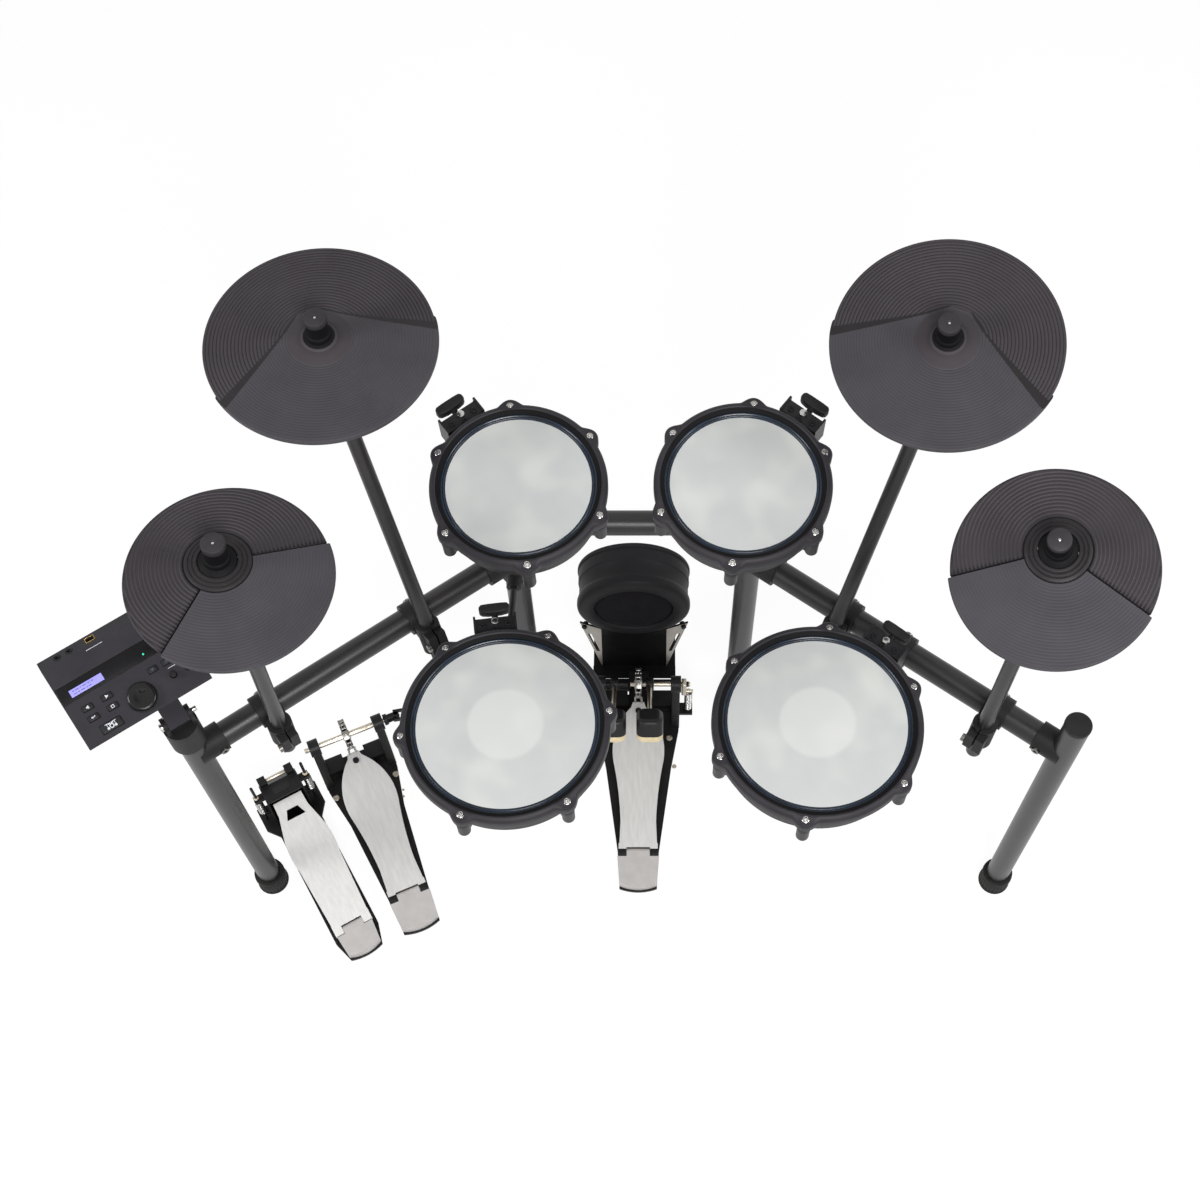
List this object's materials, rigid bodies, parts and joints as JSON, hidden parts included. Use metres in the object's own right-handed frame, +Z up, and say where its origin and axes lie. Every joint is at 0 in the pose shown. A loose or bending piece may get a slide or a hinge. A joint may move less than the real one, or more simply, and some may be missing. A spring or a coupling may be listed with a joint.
{
  "type": "electronic drum kit",
  "caption": "Electronic drum kit: tube rack with mesh-head pads, rubber cymbal pads, a sound module, a bass pad with double pedal and a hi-hat control pedal.",
  "frame": {"origin": "on the floor under the middle of the kit's bounding box", "axes": "+X to the player's right, +Y away from the player, +Z up"},
  "size_m": [1.4532, 0.6877, 1.1401],
  "materials": {
    "rack_tube": "satin charcoal lacquer",
    "rod_steel": "satin black",
    "fitting": "fine grain",
    "foot_rubber": "matt",
    "bolt_steel": "bright",
    "cymbal_rubber": "fine concentric grooves",
    "pad_shell": "satin",
    "hoop_rubber": "matt",
    "mesh_head": "woven mesh",
    "wing_screw": "satin",
    "module_case": "fine grain",
    "button": "soft matt",
    "knob": "satin",
    "kick_shell": "matt",
    "kick_cushion": "matt",
    "pedal_black": "satin black",
    "pedal_silver": "brushed",
    "beater": "satin, with a pale felt face",
    "drive_steel": "bright"
  },
  "bodies": {
    "rack": {"rack_legs": "rack_tube", "leg_caps": "fitting", "leg_feet": "foot_rubber", "side_bars": "rack_tube", "cross_bar": "rack_tube", "corner_clamps": "fitting", "bar_clamps": "fitting", "clamp_bolts": "bolt_steel", "cymbal_arms": "rack_tube", "cymbal_tilters": "rod_steel", "cymbal_seats": "foot_rubber", "cymbal_caps": "fitting", "pad_rods": "rod_steel", "module_bracket": "fitting", "kick_tower": "pedal_black", "kick_pad_shell": "kick_shell", "kick_cushion": "kick_cushion", "pedal_bases": "pedal_black", "pedal_heels": "pedal_silver", "pedal_chains": "drive_steel", "pedal_springs": "drive_steel", "hat_cover": "pedal_black"},
    "module": {"module_case": "module_case"},
    "previous_button": {"previous_button": "button"},
    "next_button": {"next_button": "button"},
    "exit_button": {"exit_button": "button"},
    "menu_button": {"menu_button": "button"},
    "kit_button": {"kit_button": "button"},
    "coach_button": {"coach_button": "button"},
    "metronome_button": {"metronome_button": "button"},
    "volume_knob": {"volume_knob": "knob"},
    "balance_knob": {"balance_knob": "knob"},
    "module_dial": {"module_dial": "knob"},
    "left_tom_pad": {"left_tom_shell": "pad_shell", "left_tom_hoop": "hoop_rubber", "left_tom_head": "mesh_head"},
    "left_tom_wing_screw": {"left_tom_wing_screw": "wing_screw"},
    "right_tom_pad": {"right_tom_shell": "pad_shell", "right_tom_hoop": "hoop_rubber", "right_tom_head": "mesh_head"},
    "right_tom_wing_screw": {"right_tom_wing_screw": "wing_screw"},
    "snare_pad": {"snare_shell": "pad_shell", "snare_hoop": "hoop_rubber", "snare_head": "mesh_head"},
    "snare_wing_screw": {"snare_wing_screw": "wing_screw"},
    "floor_tom_pad": {"floor_tom_shell": "pad_shell", "floor_tom_hoop": "hoop_rubber", "floor_tom_head": "mesh_head"},
    "floor_tom_wing_screw": {"floor_tom_wing_screw": "wing_screw"},
    "hi_hat_cymbal": {"hi_hat_cymbal": "cymbal_rubber"},
    "left_crash_cymbal": {"left_crash_cymbal": "cymbal_rubber"},
    "right_crash_cymbal": {"right_crash_cymbal": "cymbal_rubber"},
    "ride_cymbal": {"ride_cymbal": "cymbal_rubber"},
    "primary_beater": {"primary_beater": "beater"},
    "main_footboard": {"main_footboard": "pedal_silver"},
    "secondary_beater": {"secondary_beater": "beater"},
    "slave_footboard": {"slave_footboard": "pedal_silver"},
    "slave_axle": {"slave_axle": "drive_steel"},
    "drive_shaft": {"drive_shaft": "drive_steel"},
    "hat_footboard": {"hat_footboard": "pedal_silver"}
  },
  "joints": [
    {"name": "module_tilt", "type": "hinge", "parent": "rack", "child": "module", "pos_m": [-0.54892, -0.17562, 0.702], "axis": [0.8166, 0.5771, 0], "range_deg": [-12, 12]},
    {"name": "previous_button_press", "type": "slide", "parent": "module", "child": "previous_button", "axis": [-0.1974, 0.2793, -0.9397], "range_m": [0, 0.0012], "stiffness_N_per_m": 300, "springref_m": -0.001},
    {"name": "next_button_press", "type": "slide", "parent": "module", "child": "next_button", "axis": [-0.1974, 0.2793, -0.9397], "range_m": [0, 0.0012], "stiffness_N_per_m": 300, "springref_m": -0.001},
    {"name": "exit_button_press", "type": "slide", "parent": "module", "child": "exit_button", "axis": [-0.1974, 0.2793, -0.9397], "range_m": [0, 0.0012], "stiffness_N_per_m": 300, "springref_m": -0.001},
    {"name": "menu_button_press", "type": "slide", "parent": "module", "child": "menu_button", "axis": [-0.1974, 0.2793, -0.9397], "range_m": [0, 0.0012], "stiffness_N_per_m": 300, "springref_m": -0.001},
    {"name": "kit_button_press", "type": "slide", "parent": "module", "child": "kit_button", "axis": [-0.1974, 0.2793, -0.9397], "range_m": [0, 0.0012], "stiffness_N_per_m": 300, "springref_m": -0.001},
    {"name": "coach_button_press", "type": "slide", "parent": "module", "child": "coach_button", "axis": [-0.1974, 0.2793, -0.9397], "range_m": [0, 0.0012], "stiffness_N_per_m": 300, "springref_m": -0.001},
    {"name": "metronome_button_press", "type": "slide", "parent": "module", "child": "metronome_button", "axis": [-0.1974, 0.2793, -0.9397], "range_m": [0, 0.0012], "stiffness_N_per_m": 300, "springref_m": -0.001},
    {"name": "volume_knob_turn", "type": "hinge", "parent": "module", "child": "volume_knob", "pos_m": [-0.54284, -0.13795, 0.76513], "axis": [-0.1974, 0.2793, -0.9397], "range_deg": [-150, 150]},
    {"name": "balance_knob_turn", "type": "hinge", "parent": "module", "child": "balance_knob", "pos_m": [-0.52504, -0.12537, 0.76513], "axis": [-0.1974, 0.2793, -0.9397], "range_deg": [-150, 150]},
    {"name": "module_dial_turn", "type": "hinge", "parent": "module", "child": "module_dial", "pos_m": [-0.58145, -0.1703, 0.76362], "axis": [-0.1974, 0.2793, -0.9397], "continuous": true},
    {"name": "left_tom_swivel", "type": "hinge", "parent": "rack", "child": "left_tom_pad", "pos_m": [-0.15661, 0.19311, 0.90447], "axis": [0, -0.0958, 0.9954], "range_deg": [-6, 6]},
    {"name": "left_tom_wing_screw_turn", "type": "hinge", "parent": "left_tom_pad", "child": "left_tom_wing_screw", "pos_m": [-0.15661, 0.19541, 0.88058], "axis": [-0.6036, 0.7936, 0.0764], "continuous": true},
    {"name": "right_tom_swivel", "type": "hinge", "parent": "rack", "child": "right_tom_pad", "pos_m": [0.31367, 0.19165, 0.90933], "axis": [0, -0.0958, 0.9954], "range_deg": [-6, 6]},
    {"name": "right_tom_wing_screw_turn", "type": "hinge", "parent": "right_tom_pad", "child": "right_tom_wing_screw", "pos_m": [0.31367, 0.19395, 0.88544], "axis": [0.6174, 0.783, 0.0754], "continuous": true},
    {"name": "snare_swivel", "type": "hinge", "parent": "rack", "child": "snare_pad", "pos_m": [-0.11593, -0.028, 0.711], "axis": [0, 0, 1], "range_deg": [-6, 6]},
    {"name": "snare_wing_screw_turn", "type": "hinge", "parent": "snare_pad", "child": "snare_wing_screw", "pos_m": [-0.11593, -0.028, 0.687], "axis": [-0.1305, 0.9914, 0], "continuous": true},
    {"name": "floor_tom_swivel", "type": "hinge", "parent": "rack", "child": "floor_tom_pad", "pos_m": [0.4334, -0.0655, 0.725], "axis": [0, 0, 1], "range_deg": [-6, 6]},
    {"name": "floor_tom_wing_screw_turn", "type": "hinge", "parent": "floor_tom_pad", "child": "floor_tom_wing_screw", "pos_m": [0.4334, -0.0655, 0.701], "axis": [0.6293, 0.7771, 0], "continuous": true},
    {"name": "hi_hat_rock", "type": "hinge", "parent": "rack", "child": "hi_hat_cymbal", "pos_m": [-0.4156, -0.1368, 1.05701], "axis": [0.7472, 0.661, -0.069], "range_deg": [-7, 7], "stiffness_Nm_per_rad": 6},
    {"name": "left_crash_rock", "type": "hinge", "parent": "rack", "child": "left_crash_cymbal", "pos_m": [-0.32158, 0.19181, 1.05502], "axis": [0.9202, 0.3906, -0.0244], "range_deg": [-7, 7], "stiffness_Nm_per_rad": 6},
    {"name": "right_crash_rock", "type": "hinge", "parent": "rack", "child": "right_crash_cymbal", "pos_m": [0.48921, 0.19531, 1.05337], "axis": [0.9323, -0.3579, 0.0531], "range_deg": [-7, 7], "stiffness_Nm_per_rad": 6},
    {"name": "ride_rock", "type": "hinge", "parent": "rack", "child": "ride_cymbal", "pos_m": [0.5963, -0.11895, 1.06607], "axis": [0.9519, -0.282, 0.1203], "range_deg": [-7, 7], "stiffness_Nm_per_rad": 6},
    {"name": "primary_beater_swing", "type": "hinge", "parent": "rack", "child": "primary_beater", "pos_m": [0.08308, 0.14038, 0.125], "axis": [-1, 0, 0], "range_deg": [0, 75], "stiffness_Nm_per_rad": 0.3, "springref_deg": -22.92, "deforming": ["pedal_chains", "pedal_springs"]},
    {"name": "main_pedal_press", "type": "hinge", "parent": "rack", "child": "main_footboard", "pos_m": [0.08308, -0.13162, 0.017], "axis": [-1, 0, 0], "range_deg": [0, 6.2]},
    {"name": "secondary_beater_swing", "type": "hinge", "parent": "rack", "child": "secondary_beater", "pos_m": [0.08308, 0.14038, 0.125], "axis": [-1, 0, 0], "range_deg": [0, 75], "stiffness_Nm_per_rad": 0.3, "springref_deg": -22.92, "deforming": ["pedal_chains"]},
    {"name": "slave_pedal_press", "type": "hinge", "parent": "rack", "child": "slave_footboard", "pos_m": [-0.31129, -0.2051, 0.017], "axis": [-0.9135, -0.4067, 0], "range_deg": [0, 6.2]},
    {"name": "slave_axle_turn", "type": "hinge", "parent": "rack", "child": "slave_axle", "pos_m": [-0.42192, 0.04338, 0.125], "axis": [-0.9135, -0.4067, 0], "range_deg": [0, 75]},
    {"name": "drive_shaft_turn", "type": "hinge", "parent": "rack", "child": "drive_shaft", "pos_m": [-0.33787, 0.0808, 0.125], "axis": [-0.9832, -0.1825, 0], "range_deg": [0, 75]},
    {"name": "hat_pedal_press", "type": "hinge", "parent": "rack", "child": "hat_footboard", "pos_m": [-0.40232, -0.26132, 0.017], "axis": [-0.8634, -0.5045, 0], "range_deg": [0, 8], "stiffness_Nm_per_rad": 8, "springref_deg": -6.88}
  ],
  "couplings": [
    {"joint": "main_pedal_press", "follows": "primary_beater_swing", "ratio": 0.08257},
    {"joint": "slave_pedal_press", "follows": "secondary_beater_swing", "ratio": 0.08257},
    {"joint": "slave_axle_turn", "follows": "secondary_beater_swing", "ratio": 1},
    {"joint": "drive_shaft_turn", "follows": "secondary_beater_swing", "ratio": 1}
  ]
}
